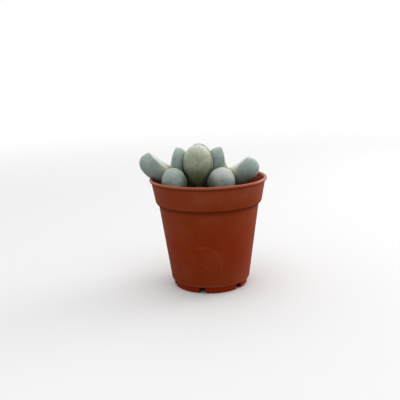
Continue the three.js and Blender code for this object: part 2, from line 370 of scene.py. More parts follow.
class Finish(Nodes):
    """A node material in the making."""

    def __init__(self, name):
        self.material = bpy.data.materials.new(name)
        super().__init__(self.material)
        self.shader = self.tree.nodes["Principled BSDF"]
        self.place = self.node("ShaderNodeTexCoord", output="Object")
        self.x, self.y, self.z = self.parts(self.place)

    def noise(self, size, detail=2.0, roughness=0.5, place=None, distortion=0.0):
        """Soft random cloud from 0 to 1, whose features are about size metres across."""
        return self.node("ShaderNodeTexNoise", inputs={
            "Vector": place or self.place, "Scale": 1 / size, "Detail": detail,
            "Roughness": roughness, "Distortion": distortion})

    def step(self, value, low, high):
        """Rises smoothly from 0 at low to 1 at high."""
        return self.node(
            "ShaderNodeMapRange", options={"interpolation_type": "SMOOTHSTEP"},
            inputs={"Value": value, "From Min": low, "From Max": high})

    def fade(self, value, low, high):
        """Falls smoothly from 1 at low to 0 at high."""
        return 1 - self.step(value, low, high)

    def patches(self, size, low, high, **kind):
        """Random patches about size metres across, which rise from 0 to 1 between two levels."""
        return self.step(self.noise(size, **kind), low, high)

    def dots(self, size, small, large):
        """Round dots, one in each cell of size metres, which fade out between two radii."""
        cells = self.node(
            "ShaderNodeTexVoronoi", output="Distance",
            inputs={"Vector": self.place, "Scale": 1 / size, "Randomness": 1.0})
        return self.fade(cells, small, large)

    def mix(self, share, first, second):
        """Mixes two colours, each a setting or a signal."""
        first, second = [c if isinstance(c, Signal) else (*c, 1.0) for c in (first, second)]
        return self.node(
            "ShaderNodeMix", output=2, options={"data_type": "RGBA"},
            inputs={0: share, 6: first, 7: second})

    def coat(self, tint, *coats):
        """Lays coats over a colour, each a pair of its share in every spot and its own colour."""
        for share, over in coats:
            tint = self.mix(share, tint, over)
        return tint

    def vectors(self, operation, first, second=(0.0, 0.0, 0.0), output=0):
        """Adds a Vector Math node that works on two vectors."""
        return self.node(
            "ShaderNodeVectorMath", output=output, options={"operation": operation},
            inputs={0: first, 1: second})

    def distance(self, point, stretch=(1.0, 1.0, 1.0)):
        """Distance in metres from a point of the object, with its axes stretched by a share each."""
        shifted = self.vectors("SUBTRACT", self.place, point)
        return self.vectors("LENGTH", self.vectors("MULTIPLY", shifted, stretch), output="Value")

    def reach(self, point, direction):
        """How far the place lies from a point of the object, measured along a direction."""
        shifted = self.vectors("SUBTRACT", self.place, point)
        return self.vectors("DOT_PRODUCT", shifted, direction, output="Value")

    def attribute(self, name, output="Vector"):
        """A vector, or with the output Fac a number, that the piece's own mesh carries."""
        return self.node("ShaderNodeAttribute", output=output, options={"attribute_name": name})

    def feed(self, values):
        """Gives the shader's sockets their values or their signals."""
        self.fill(self.shader.inputs, values)

    def bump(self, height, depth):
        """Feeds a relief of that depth in metres to the shader's normal."""
        self.feed({"Normal": self.node("ShaderNodeBump", inputs={
            "Height": height, "Distance": depth, "Strength": 1.0})})


def new_piece(name, bm, material=None):
    """Makes an object of a bmesh and frees it. The object's place is in its mesh."""
    mesh = bpy.data.meshes.new(name)
    bm.to_mesh(mesh)
    bm.free()
    piece = bpy.data.objects.new(name, mesh)
    bpy.context.scene.collection.objects.link(piece)
    if material:
        mesh.materials.append(material)
    return piece


def shade(piece, crease=35):
    """Shades a piece smooth, apart from edges sharper than crease, in degrees."""
    piece.data.shade_smooth()
    piece.data.set_sharp_from_angle(angle=math.radians(crease))


def apply_modifiers(piece):
    """Puts the result of a piece's modifiers in its mesh."""
    graph = bpy.context.evaluated_depsgraph_get()
    finished = bpy.data.meshes.new_from_object(piece.evaluated_get(graph))
    piece.modifiers.clear()
    old = piece.data
    piece.data = finished
    bpy.data.meshes.remove(old)


def remove(piece):
    """Removes a piece that only helped to shape others."""
    mesh = piece.data
    bpy.data.objects.remove(piece)
    bpy.data.meshes.remove(mesh)


def grown_copy(piece, gap, material):
    """A copy whose surface stands gap metres further out."""
    bm = bmesh.new()
    bm.from_mesh(piece.data)
    bm.normal_update()
    for vert in bm.verts:
        vert.co += vert.normal * gap
    for face in bm.faces:
        face.material_index = 0
    return new_piece(f"{piece.name}_room", bm, material)


def boxes_meet(first, second):
    """Whether the boxes of two pieces overlap."""
    one, two = [zip(*piece.bound_box) for piece in (first, second)]
    return all(min(a) < max(b) and min(b) < max(a) for a, b in zip(one, two))


def drop_flaps(mesh):
    """Deletes the doubled faces that a cut can leave, and those that hang on to nothing."""
    mesh.validate()
    bm = bmesh.new()
    bm.from_mesh(mesh)
    flaps = [face for face in bm.faces if all(len(edge.link_faces) == 1 for edge in face.edges)]
    bmesh.ops.delete(bm, geom=flaps, context="FACES")
    bm.to_mesh(mesh)
    bm.free()


def cut(piece, neighbours, gap):
    """Takes the room of the neighbours, and a gap round them, out of a piece."""
    bpy.context.view_layer.update()
    material = piece.data.materials[0]
    rooms = [grown_copy(other, gap, material) for other in neighbours if boxes_meet(piece, other)]
    for room in rooms:
        modifier = piece.modifiers.new("room", "BOOLEAN")
        modifier.operation = "DIFFERENCE"
        modifier.solver = "MANIFOLD"
        modifier.object = room
    apply_modifiers(piece)
    drop_flaps(piece.data)
    for room in rooms:
        remove(room)


def spun(outline, steps):
    """A solid of revolution about the Z axis.

    outline holds (radius, height, rounding) in metres, and starts and ends on the axis.
    """
    bm = bmesh.new()
    verts = [bm.verts.new((radius, 0, height)) for radius, height, _ in outline]
    for one, two in zip(verts, verts[1:]):
        bm.edges.new((one, two))
    for vert, (_, _, rounding) in zip(verts, outline):
        if rounding:
            bmesh.ops.bevel(
                bm, geom=[vert], offset=rounding, segments=ROUNDING_STEPS, profile=0.5,
                affect="VERTICES", material=-1)
    bmesh.ops.spin(
        bm, geom=bm.verts[:] + bm.edges[:], cent=(0, 0, 0), axis=(0, 0, 1), angle=math.tau,
        steps=steps, use_merge=True)
    bmesh.ops.remove_doubles(bm, verts=bm.verts, dist=DOUBLES_WITHIN)
    bmesh.ops.recalc_face_normals(bm, faces=bm.faces)
    return bm


def soften(bm, times):
    """Smooths a mesh that many times."""
    for _ in range(times):
        bmesh.ops.smooth_vert(
            bm, verts=bm.verts, factor=0.5, use_axis_x=True, use_axis_y=True, use_axis_z=True)
    bm.normal_update()


def settings():
    """The add-on's settings of the open scene."""
    return bpy.context.scene.karoo_rose


def blend(low, high, share):
    """The value at that share of the way from low to high."""
    return low + (high - low) * share


def polar(radius, turn, height):
    """The place at a distance from the Z axis, in a compass direction and at a height."""
    return Vector((radius * math.cos(turn), radius * math.sin(turn), height))


def inner_radius(pot, height):
    """Radius of the pot's inside at a height."""
    if height > pot.body_top + pot.wall:
        share = (height - pot.body_top - pot.wall) / (pot.collar_top - pot.body_top - pot.wall)
        return blend(pot.collar_bottom_radius, pot.collar_top_radius, share) - pot.wall
    share = (height - pot.foot_height) / (pot.body_top - pot.foot_height)
    return blend(pot.body_bottom_radius, pot.body_top_radius, share) - pot.wall


def pot_outline(pot):
    """The pot's section, from the middle of its underside round to the middle of its floor.

    Each corner has its radius, its height and its rounding.
    """
    edge = EDGE_ROUNDING
    ring_inner = pot.foot_radius - pot.foot_ring_width
    return [
        (0, 0, 0),
        (pot.centre_pad_radius, 0, edge),
        (pot.centre_pad_radius + pot.floor_underside, pot.floor_underside, edge),
        (ring_inner - edge, pot.floor_underside, 0.6 * edge),
        (ring_inner, 0, 0.8 * edge),
        (pot.foot_radius, 0, 1.5 * edge),
        (pot.foot_radius + edge, pot.foot_height, 0.8 * edge),
        (pot.body_bottom_radius, pot.foot_height, 2 * edge),
        (pot.body_top_radius, pot.body_top, edge),
        (pot.collar_bottom_radius, pot.collar_bottom, 1.8 * edge),
        (pot.collar_top_radius, pot.collar_top, edge),
        (pot.rim_radius, pot.collar_top, 1.9 * edge),
        (pot.rim_radius, pot.height, 1.9 * edge),
        (pot.collar_top_radius - pot.wall + edge, pot.height, 1.5 * edge),
        (inner_radius(pot, pot.collar_top), pot.collar_top, edge),
        (inner_radius(pot, pot.collar_bottom), pot.collar_bottom, edge),
        (inner_radius(pot, pot.body_top), pot.body_top, edge),
        (inner_radius(pot, pot.foot_height + edge), pot.foot_height + edge, edge),
        (pot.body_bottom_radius - pot.wall - 2 * edge, pot.floor_top, edge),
        (0, pot.floor_top, 0),
    ]


# A drain slot's cutter reaches past the wall, is set lower than its place and has rounded edges
SLOT_PAST_WALL, SLOT_SUNK, SLOT_ROUNDING = 1 * MM, 0.3 * MM, 0.5 * MM


def drain_slots(pot):
    """One solid for each drain slot, joined in one helper piece."""
    bm = bmesh.new()
    reach = pot.foot_radius + pot.foot_step + SLOT_PAST_WALL - pot.drain_inner_radius
    for index in range(pot.drain_count):
        turn = Matrix.Rotation(pot.first_drain + math.tau * index / pot.drain_count, 4, "Z")
        middle = Matrix.Translation((pot.drain_inner_radius + reach / 2, 0, -SLOT_SUNK))
        size = Matrix.Diagonal((reach, pot.drain_width, 2 * pot.foot_height, 1))
        made = bmesh.ops.create_cube(bm, size=1, matrix=turn @ middle @ size)
        edges = dict.fromkeys(edge for vert in made["verts"] for edge in vert.link_edges)
        top = [edge for edge in edges if all(vert.co.z > 0 for vert in edge.verts)]
        bmesh.ops.bevel(
            bm, geom=top, offset=SLOT_ROUNDING, segments=ROUNDING_STEPS, profile=0.5,
            affect="EDGES", material=-1)
    return new_piece("drain_slots", bm)


# How far each colour shows in each place, as a share of that colour: fading in random clouds and
# scuffs, painted sheen on the collar and on the lip's sides, painted highlights on the lip and on the
# ledge over the foot, a painted glow low down, painted shade in the creases and inside the collar, and
# dust specks
CLOUD_HAZE, COLLAR_SHEEN, LEDGE_HIGHLIGHT, SCUFF_HAZE = 0.22, 0.12, 0.25, 0.3
LIP_HIGHLIGHT, LIP_SIDE_SHEEN = 0.3, 0.2
WALL_GLOW, BELT_GLOW, FOOT_GLOW = 0.12, 0.3, 0.85
CREASE_SHADE, INSIDE_SHADE, SPECK_DIRT = 0.5, 0.6, 0.7


def pot_plastic(pot):
    """Satin moulded plastic with scuffs and dust specks, painted shade in its creases and inside its
    collar, painted sheen and highlights on the collar, lip and ledge, and a glowing foot.
    """
    finish = Finish("moulded_plastic")
    lip = finish.step(finish.z, pot.collar_top + 0.2 * MM, pot.collar_top + 0.8 * MM)
    scuffs = (rubbed_rings(finish) + scratches(finish)).clamped()
    # Painted shade under the collar's step and under the lip
    under_collar = crease(finish, pot.collar_bottom, 3.2 * MM)
    creases = under_collar + crease(finish, pot.collar_top, 0.9 * MM)
    # Painted shade in the creases and inside the collar, and real dust specks
    shade_and_dirt = (creases + shade_inside_collar(finish, pot) + dust(finish)).clamped()
    cloudy = 0.47 + 0.1 * finish.noise(3 * MM, detail=3)
    finish.feed({
        "Base Color": finish.coat(
            wall_colour(finish, lip, pot), (SCUFF_HAZE * scuffs, pot.faded_and_sheen), (shade_and_dirt, pot.shade_and_dirt)),
        "Roughness": (cloudy + 0.15 * scuffs + 0.5 * creases - 0.12 * lip).clamped(),
        "Specular IOR Level": 0.16,
        "Specular Tint": (1.0, 0.55, 0.35, 1.0),
        "Subsurface Weight": 0.08,
        "Subsurface Radius": (1.0, 0.25, 0.1),
        "Subsurface Scale": 0.6 * MM,
    })
    finish.bump(finish.noise(0.45 * MM) + 3 * finish.noise(4 * MM, detail=1), 0.012 * MM)
    return finish.material


def wall_colour(finish, lip, pot):
    """The plastic's colour, fading in random clouds, with painted sheen on the collar, a painted
    highlight on the lip and on the ledge over the foot, and glowing low down.
    """
    clouds = finish.patches(11 * MM, 0.4, 0.85, detail=3)
    # Fading in random clouds, and painted sheen on the collar
    fading_and_sheen = CLOUD_HAZE * clouds + COLLAR_SHEEN * finish.step(finish.z, pot.collar_bottom, pot.collar_top)
    foot = finish.fade(finish.z, pot.foot_height - 0.4 * MM, pot.foot_height + 0.4 * MM)
    belt = finish.step(finish.z, 6 * MM, 15 * MM) * finish.fade(finish.z, 22 * MM, 36 * MM)
    # Painted highlight: a thin pale line on the edge just over the foot
    over_foot = abs(finish.z - pot.foot_height - 0.5 * MM)
    ledge = finish.fade(over_foot, 0.1 * MM, 0.6 * MM) * (1 - foot)
    # Painted highlight on the lip, with painted sheen that is stronger towards its left and right sides
    sides = finish.step(abs(finish.x), 18 * MM, 27 * MM)
    return finish.coat(
        pot.plastic,
        (fading_and_sheen, pot.faded_and_sheen),
        (FOOT_GLOW * foot + WALL_GLOW + BELT_GLOW * belt, pot.glow),
        (LEDGE_HIGHLIGHT * ledge, pot.faded_and_sheen),
        (lip * (LIP_HIGHLIGHT + LIP_SIDE_SHEEN * sides), pot.faded_and_sheen))


def crease(finish, level, fade):
    """Painted shade that is thickest just under a ledge and thins out downwards over a distance."""
    under = finish.step(finish.z, level + 0.25 * MM, level - 0.15 * MM)
    return CREASE_SHADE * under * finish.step(finish.z, level - fade, level - 0.1 * MM)


def shade_inside_collar(finish, pot):
    """Painted shade on the inside of the collar, which thins out towards the lip."""
    top, bottom = inner_radius(pot, pot.collar_top), inner_radius(pot, pot.collar_bottom)
    slope = (top - bottom) / (pot.collar_top - pot.collar_bottom)
    upright = finish.distance((0, 0, 0), (1, 1, 0)) - slope * (finish.z - pot.collar_bottom)
    inside = finish.fade(upright, bottom + 0.2 * MM, bottom + 0.5 * MM)
    over_step = finish.step(finish.z, pot.collar_bottom + 0.5 * MM, pot.collar_bottom + 1.5 * MM)
    under_lip = finish.fade(finish.z, pot.collar_top - 5 * MM, pot.collar_top)
    return INSIDE_SHADE * inside * over_step * under_lip


RUB_MARKS = (
    # middle and radius of the ring in millimetres, direction of the arc that is left, strength
    ((-4.0, -20.2, 14.1), 8.9, (0.62, 0.0, 0.78), 0.75),
    ((-6.0, -19.3, 10.6), 4.8, (0.99, 0.0, 0.12), 0.5),
    ((14.0, 15.0, 24.0), 6.5, (0.6, 0.0, 0.8), 0.7),
    ((-19.0, 8.0, 30.0), 8.0, (0.0, 0.8, -0.6), 0.5),
)


def rubbed_rings(finish):
    """Faint arcs where other pots' rims have rubbed the wall."""
    total = 0
    broken = finish.patches(4 * MM, 0.36, 0.6)
    for middle, radius, toward, strength in RUB_MARKS:
        point = Vector(middle) * MM
        away = finish.distance(point, (1.0, 0.4, 1.0))
        line = finish.fade(abs(away - radius * MM), 0.1 * MM, 0.9 * MM)
        arc = finish.step(finish.reach(point, toward), 0.05 * radius * MM, 0.6 * radius * MM)
        total = total + strength * (line * arc * broken)
    return total


def scratches(finish):
    """Short hair-fine scratches in two slanting directions."""
    total = 0
    for turn, size in ((0.5, 0.9), (-0.8, 1.2)):
        slanted = finish.node("ShaderNodeMapping", inputs={
            "Vector": finish.place, "Rotation": (0, turn, turn / 2), "Scale": (1, 1, 0.05)})
        total = total + 0.25 * finish.patches(size * MM, 0.71, 0.77, detail=1, place=slanted)
    return total


def dust(finish):
    """Sparse dark specks, up to a third of a millimetre across."""
    here = finish.patches(9 * MM, 0.5, 0.72, detail=1)
    return SPECK_DIRT * (finish.dots(2.6 * MM, 0.03, 0.07) * here)


# Steps that the pot and the soil are spun in
POT_STEPS, SOIL_STEPS = 224, 200


class KAROO_OT_pot(Operator):
    """Builds the moulded pot with its rolled lip, stepped collar, foot ring and drain slots"""

    bl_idname = "karoo.pot"
    bl_label = "Pot"

    def execute(self, context):
        pot = settings().pot
        piece = new_piece("moulded_pot", spun(pot_outline(pot), POT_STEPS), pot_plastic(pot))
        slots = drain_slots(pot)
        cut(piece, [slots], gap=0)
        remove(slots)
        shade(piece)
        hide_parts("pot")
        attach(piece, BODY)
        return {"FINISHED"}


# Places of the root's bend, tip and side roots' tips, in millimetres
ROOT_BEND = (-4.4, 1.2, 35.0)
ROOT_TIP = (-2.6, 0.4, 11.0)
SIDE_ROOTS = ((-13.0, 5.0, 22.0), (5.0, -6.0, 20.0), (3.0, 8.0, 24.0))

# How much thicker than a neck's top the taproot and the necks begin at the bend, and the radii of
# the other ends, in millimetres
TAPROOT_SWELL, NECK_SWELL = 1.0, 0.5
TAPROOT_TIP, SIDE_ROOT_START, SIDE_ROOT_TIP = 0.5, 1.2, 0.45

# Corners round a limb and along its balls
LIMB_ROUND, BALL_LONG = 20, 12

# Fineness of the skin that joins the limbs, how often it is smoothed, and how fine and flat the rings
# of its bark are
ROOT_VOXEL = 0.26 * MM
ROOT_SOFTENING = 6
BARK_FINENESS, RING_SQUEEZE = 0.9, 2.5


def add_limb(bm, start, end, start_radius, end_radius):
    """Adds a round limb between two points in millimetres, with a ball at each end."""
    start, end = Vector(start), Vector(end)
    along = end - start
    turn = along.to_track_quat("Z", "Y").to_matrix().to_4x4()
    middle = Matrix.Translation((start + end) / 2 * MM)
    bmesh.ops.create_cone(
        bm, segments=LIMB_ROUND, cap_ends=True, radius1=start_radius * MM, radius2=end_radius * MM,
        depth=along.length * MM, matrix=middle @ turn)
    for point, radius in ((start, start_radius), (end, end_radius)):
        bmesh.ops.create_uvsphere(
            bm, u_segments=LIMB_ROUND, v_segments=BALL_LONG, radius=radius * MM,
            matrix=Matrix.Translation(point * MM))


def root_bark(root):
    """Dry corky bark with rings and creases."""
    finish = Finish("root_bark")
    flat = finish.node("ShaderNodeMapping", inputs={"Vector": finish.place, "Scale": (1, 1, 3)})
    creases = finish.noise(1.4 * MM, detail=4, roughness=0.65, place=flat)
    high = finish.step(creases, 0.35, 0.62)
    finish.feed({
        "Base Color": finish.mix(high, root.bark_dark, root.bark_light), "Roughness": 0.85})
    finish.bump(creases, 0.15 * MM)
    return finish.material


class KAROO_OT_rootstock(Operator):
    """Builds the woody rootstock: a taproot, side roots and a neck to each head"""

    bl_idname = "karoo.rootstock"
    bl_label = "Rootstock"

    def execute(self, context):
        root = settings().root
        neck = root.neck_radius / MM
        bm = bmesh.new()
        add_limb(bm, ROOT_BEND, ROOT_TIP, neck + TAPROOT_SWELL, TAPROOT_TIP)
        for crown in CROWNS.values():
            add_limb(bm, ROOT_BEND, crown, neck + NECK_SWELL, neck)
        for end in SIDE_ROOTS:
            add_limb(bm, ROOT_BEND, end, SIDE_ROOT_START, SIDE_ROOT_TIP)
        piece = new_piece("woody_rootstock", bm, root_bark(root))
        skin = piece.modifiers.new("skin", "REMESH")
        skin.mode = "VOXEL"
        skin.voxel_size = ROOT_VOXEL
        apply_modifiers(piece)
        self.roughen(piece.data, root.bark_relief)
        shade(piece, crease=60)
        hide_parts("rootstock")
        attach(piece, BODY)
        return {"FINISHED"}

    def roughen(self, mesh, relief):
        """Softens the joints and raises the ridges of the bark."""
        bm = bmesh.new()
        bm.from_mesh(mesh)
        soften(bm, ROOT_SOFTENING)
        for vert in bm.verts:
            place = vert.co / MM
            flat = Vector((place.x, place.y, RING_SQUEEZE * place.z)) * BARK_FINENESS
            rings = noise.fractal(flat, 1.0, 2.0, 3)
            vert.co += vert.normal * relief * rings
        bm.to_mesh(mesh)
        bm.free()


def leaf_axes(leaf):
    """Directions along, across and up from the flat face of a leaf, as the columns of a matrix."""
    facing, pitch = math.radians(leaf.facing), math.radians(leaf.pitch)
    ahead = polar(1, facing, 0)
    forward = math.cos(pitch) * ahead + math.sin(pitch) * Vector((0, 0, 1))
    face = -math.sin(pitch) * ahead + math.cos(pitch) * Vector((0, 0, 1))
    return Matrix((forward, face.cross(forward), face)).transposed()


def smoothstep(value, low, high):
    """Rises smoothly from 0 at low to 1 at high."""
    share = min(max((value - low) / (high - low), 0.0), 1.0)
    return share * share * (3 - 2 * share)


def leaf_section(leaf, to_tip):
    """A leaf's section: its place along the leaf, half width, swell of the face, depth and droop.

    to_tip is -1 at the base, 0 at the widest place and 1 at the tip.
    """
    ring = math.sqrt(max(0.0, 1 - to_tip * to_tip))
    widest = leaf.widest * leaf.length
    if to_tip > 0:
        along = blend(widest, leaf.length, to_tip)
        width = leaf.half_width * ring
        depth = leaf.depth * ring ** CHIN_BLUNTNESS
    else:
        along = widest * (1 + to_tip)
        fill = math.cos(to_tip * math.pi / 2)
        blunt = ring ** BASE_BLUNTNESS
        width = leaf.half_width * blend(leaf.base_width, 1, fill) * blunt
        depth = leaf.depth * blend(leaf.base_depth, 1, fill) * blunt
    share = along / leaf.length
    heel = leaf.heel * (1 - smoothstep(share, HEEL_START, HEEL_END))
    swell = (YOUNG_FACE_SWELL if leaf.young else FACE_SWELL) + heel
    droop = max(0.0, to_tip) ** 3 * leaf.drop + leaf.bend * share * share
    return along, width, swell * math.sqrt(ring), depth, droop


def leaf_point(leaf, ball):
    """Moves a point of a ball of radius 1, its poles on X, to its place on the leaf."""
    along, width, swell, depth, droop = leaf_section(leaf, ball.x)
    ring = math.hypot(ball.y, ball.z)
    across, up = (ball.y / ring, ball.z / ring) if ring > DOUBLES_WITHIN else (0.0, 0.0)
    if up >= 0:
        return Vector((along, width * across, swell * up ** FACE_FLATNESS - droop))
    sharp = leaf.keel * blend(KEEL_AT_BASE, 1.0, along / leaf.length)
    side = (1 - sharp) * across + sharp * math.copysign(1 + up, across)
    return Vector((along, width * side, depth * up - droop))


def leaf_form(name, leaf, crown, shared, material):
    """A leaf's whole skin, drawn out of a ball."""
    axes = leaf_axes(leaf)
    base = Vector(crown) + Vector(leaf.seat)
    bm = bmesh.new()
    bmesh.ops.create_uvsphere(
        bm, u_segments=LEAF_ROUND, v_segments=LEAF_LONG, radius=1,
        matrix=Matrix.Rotation(math.pi / 2, 4, "Y"))
    for vert in bm.verts:
        vert.co = (base + axes @ leaf_point(leaf, vert.co)) * MM
    soften(bm, shared.margin_softening)
    for vert in bm.verts:
        place = vert.co / MM
        slow = noise.noise(place / SLOW_SWELLING + Vector((leaf.length, leaf.depth, 0)))
        quick = noise.noise(place / QUICK_SWELLING)
        vert.co += vert.normal * shared.unevenness * (slow + QUICK_SHARE * quick)
    bmesh.ops.recalc_face_normals(bm, faces=bm.faces)
    return new_piece(name, bm, material)


def measure_leaf(piece, leaf, crown):
    """Writes on each corner its share along the leaf, its distance from the margin and its height.

    The distance and the height are in millimetres. The height is over the plane of the margins, so
    it is below 0 on the keeled back.
    """
    to_leaf = leaf_axes(leaf).transposed()
    base = Vector(crown) + Vector(leaf.seat)
    widest = leaf.widest * leaf.length
    values = []
    for vert in piece.data.vertices:
        along, across, rise = to_leaf @ (vert.co / MM - base)
        if along > widest:
            to_tip = min((along - widest) / (leaf.length - widest), 1.0)
        else:
            to_tip = max(along / widest - 1, -1.0)
        _, width, _, _, droop = leaf_section(leaf, to_tip)
        rise += droop
        values += along / leaf.length, math.hypot(abs(across) - width, rise), rise
    left_by_cut = piece.data.attributes.get("leaf_place")
    if left_by_cut:
        piece.data.attributes.remove(left_by_cut)
    attribute = piece.data.attributes.new("leaf_place", "FLOAT_VECTOR", "POINT")
    attribute.data.foreach_set("vector", values)


# How much of each coat the skins show where it is strongest, as a share of its colour. The bloom on the
# flat face and on the young tips is partly painted top light, the young base's green is partly painted
# shade, the coats on the noses and on the front leaves' margins are painted highlights, and the crowd
# and pocket coats are painted shade
FACE_WAX_AND_LIGHT, WORN_WAX, OLD_TIP_WAX, YOUNG_TIP_WAX_AND_LIGHT = 0.7, 0.2, 0.05, 0.6
NOSE_HIGHLIGHT, RIGHT_NOSE_HIGHLIGHT = 0.15, 0.5
OLD_MOTTLE, YOUNG_MOTTLE, STREAK = 0.5, 0.4, 0.35
HEART, YOUNG_BASE_GREEN_AND_SHADE = 0.85, 0.9
OLD_LINE, FRONT_LINE_HIGHLIGHT, YOUNG_LINE = 0.1, 0.5, 0.4
OLD_TIP_EDGE, YOUNG_TIP_EDGE = 0.45, 0.4
OLD_CROWD_SHADE, YOUNG_CROWD_SHADE = 0.65, 0.75
OLD_POCKET_SHADOW, YOUNG_POCKET_SHADOW = 0.7, 0.85


def waxy_skin(name, skin, deep, wax_and_highlight, tip_wax_and_light):
    """What old and young skins share. Returns the finish, its colour and its measures.

    The measures are the three numbers that measure_leaf writes: how far along the leaf a spot is, how
    far from the margin and how high over it.
    """
    finish = Finish(name)
    along, margin, rise = finish.parts(finish.attribute("leaf_place"))
    cloud = finish.noise(4.2 * MM, detail=3, roughness=0.6, distortion=0.4)
    fine = finish.noise(0.55 * MM, detail=3, roughness=0.6)
    worn = finish.patches(1.5 * MM, 0.4, 0.7, detail=3)
    face = finish.step(rise, -0.4, 0.5)
    tip = finish.step(along, 0.72, 1.02)
    # Pale bloom on the flat face, the tip and worn patches; on the face and on the young tips it is
    # partly painted top light
    bloom_and_top_light = (FACE_WAX_AND_LIGHT * face + tip_wax_and_light * tip + WORN_WAX * worn).clamped()
    tint = finish.coat(deep, (finish.step(cloud, 0.38, 0.66), skin), (bloom_and_top_light, wax_and_highlight))
    finish.feed({
        "Roughness": (0.5 + 0.14 * fine - 0.08 * (1 - worn)).clamped(),
        "Subsurface Weight": 0.12,
        "Subsurface Radius": (0.8, 1.0, 0.8),
        "Subsurface Scale": 1.1 * MM,
        "Sheen Weight": 0.25,
        "Sheen Roughness": 0.4,
        "Specular IOR Level": 0.4,
    })
    finish.bump(fine + 1.5 * cloud, 0.03 * MM)
    return finish, tint, along, margin, rise


def old_skin(shared):
    """Grey-green bloom over a yellow-green heart, with pale margins, mottling and brown spots, painted
    highlights on the front leaves' noses and margins, and painted shade where neighbours crowd.
    """
    finish, tint, along, margin, rise = waxy_skin(
        "leaf_skin", shared.skin, shared.skin_deep, shared.wax_and_highlight, OLD_TIP_WAX)
    mottle = finish.patches(2.3 * MM, 0.55, 0.72, detail=3, roughness=0.65)
    front = finish.fade(finish.y, -6.5 * MM, -4.5 * MM)
    right = finish.step(finish.x, -8 * MM, 2 * MM)
    heart = finish.fade(along, 0.45, 0.72) * finish.step(rise, -2.4, 0.6)
    line = finish.fade(margin, 0.15, 0.75) * finish.patches(2 * MM, 0.3, 0.6)
    tint = finish.coat(
        tint,
        (OLD_MOTTLE * mottle * finish.step(along, 0.5, 0.95), shared.blush),
        # Painted highlight: paler noses on the front leaves, most on the right
        (front * (NOSE_HIGHLIGHT + RIGHT_NOSE_HIGHLIGHT * right) * finish.step(along, 0.5, 1.0), shared.wax_and_highlight),
        (HEART * heart, shared.heart),
        # A faint pale margin line on every leaf, strengthened on the front leaves by a painted
        # highlight
        ((OLD_LINE + FRONT_LINE_HIGHLIGHT * front) * line, shared.margin),
        (OLD_TIP_EDGE * tip_edge(finish, along, margin), shared.tip))
    return marked_skin(finish, tint, OLD_CROWD_SHADE, OLD_POCKET_SHADOW, shared)


def young_skin(shared):
    """Olive grey bloom with brownish streaks, dark green towards the base, partly painted shade, and
    paler towards the tip, partly painted top light.
    """
    finish, tint, along, margin, _ = waxy_skin(
        "young_leaf_skin", shared.young_skin, shared.young_deep, shared.young_wax, YOUNG_TIP_WAX_AND_LIGHT)
    upright = finish.node("ShaderNodeMapping", inputs={
        "Vector": finish.place, "Scale": (1, 1, 0.3)})
    mottle = finish.patches(2.6 * MM, 0.48, 0.7, detail=3, roughness=0.65)
    tint = finish.coat(
        tint,
        (STREAK * finish.patches(1.2 * MM, 0.52, 0.72, detail=3, place=upright), shared.young_deep),
        # Darker green towards the base: partly its own colour, partly painted shade
        (YOUNG_BASE_GREEN_AND_SHADE * finish.fade(along, 0.1, 0.8), shared.young_base_and_shade),
        (YOUNG_LINE * finish.fade(margin, 0.12, 0.5), shared.margin),
        (YOUNG_MOTTLE * mottle * finish.step(along, 0.4, 0.8), shared.blush),
        (YOUNG_TIP_EDGE * tip_edge(finish, along, margin), shared.tip))
    behind = finish.step(finish.y, -6 * MM, -2.5 * MM)
    return marked_skin(finish, tint, YOUNG_CROWD_SHADE, YOUNG_POCKET_SHADOW * behind, shared)


def marked_skin(finish, tint, crowd_shade, pocket_shadow, shared):
    """Adds spots, marks, and painted shade where neighbours crowd and in the pocket, to a colour.
    Returns the material.
    """
    tint = with_marks(finish, with_spots(finish, tint, shared.spot), shared)
    dim = (crowd_shade * sheltered(finish) + pocket_shadow * pocket(finish)).clamped()
    finish.feed({"Base Color": finish.mix(dim, tint, shared.deep_green_and_shade)})
    return finish.material


def tip_edge(finish, along, margin):
    """From 0 over most of a leaf to 1 on the worn edge round its tip."""
    edge = finish.fade(margin, 0.2, 1.0) * finish.step(along, 0.84, 0.98)
    return edge * finish.patches(1.1 * MM, 0.3, 0.6)


def sheltered(finish):
    """From 0 in the open to 1 where neighbours crowd a spot, as measured on its corners."""
    return finish.step(finish.attribute("shelter", "Fac"), 0.3, 0.75)


# Middle of the painted shadow in the pocket between the heads, in millimetres
POCKET = (-4.6, -8.0, 48.5)


def pocket(finish):
    """From 0 outside to 1 deep between the three heads, where the centre pair takes the light."""
    away = finish.distance(Vector(POCKET) * MM, (1.0, 0.4, 1.1))
    return finish.fade(away, 5.5 * MM, 10.5 * MM)


LEAF_MARKS = (
    # middle and radius in millimetres, strength and the colour's name
    ((6.2, -11.4, 51.4), 0.8, 0.6, "spot"),
    ((9.5, -9.1, 54.5), 1.3, 0.45, "flush"),
    ((8.0, -9.7, 55.3), 0.7, 0.3, "flush"),
    ((-15.3, -10.8, 52.8), 1.2, 0.5, "flush"),
    ((-14.6, -10.9, 51.9), 0.7, 0.35, "spot"),
    ((-4.5, -8.1, 58.4), 0.55, 0.55, "spot"),
    ((-4.2, -7.6, 54.8), 1.9, 0.3, "spot"),
    ((9.6, -1.3, 55.6), 0.9, 0.55, "spot"),
    ((10.6, 1.5, 57.2), 0.7, 0.4, "flush"),
    ((18.7, -1.2, 59.5), 0.45, 0.7, "spot"),
    ((19.9, -0.2, 59.8), 0.45, 0.7, "spot"),
    ((-17.9, -1.5, 56.4), 0.6, 0.5, "spot"),
    # A broad soft darker patch on the left inner leaf, then painted shade on the right outer leaf
    ((-14.1, -3.5, 60.0), 6.0, 0.14, "deep_green_and_shade"),
    ((13.8, 0.5, 56.5), 4.5, 0.1, "deep_green_and_shade"),
    # Painted light: a broad pale patch on the left outer leaf
    ((-23.5, 0.5, 59.5), 4.0, 0.4, "young_wax"),
)


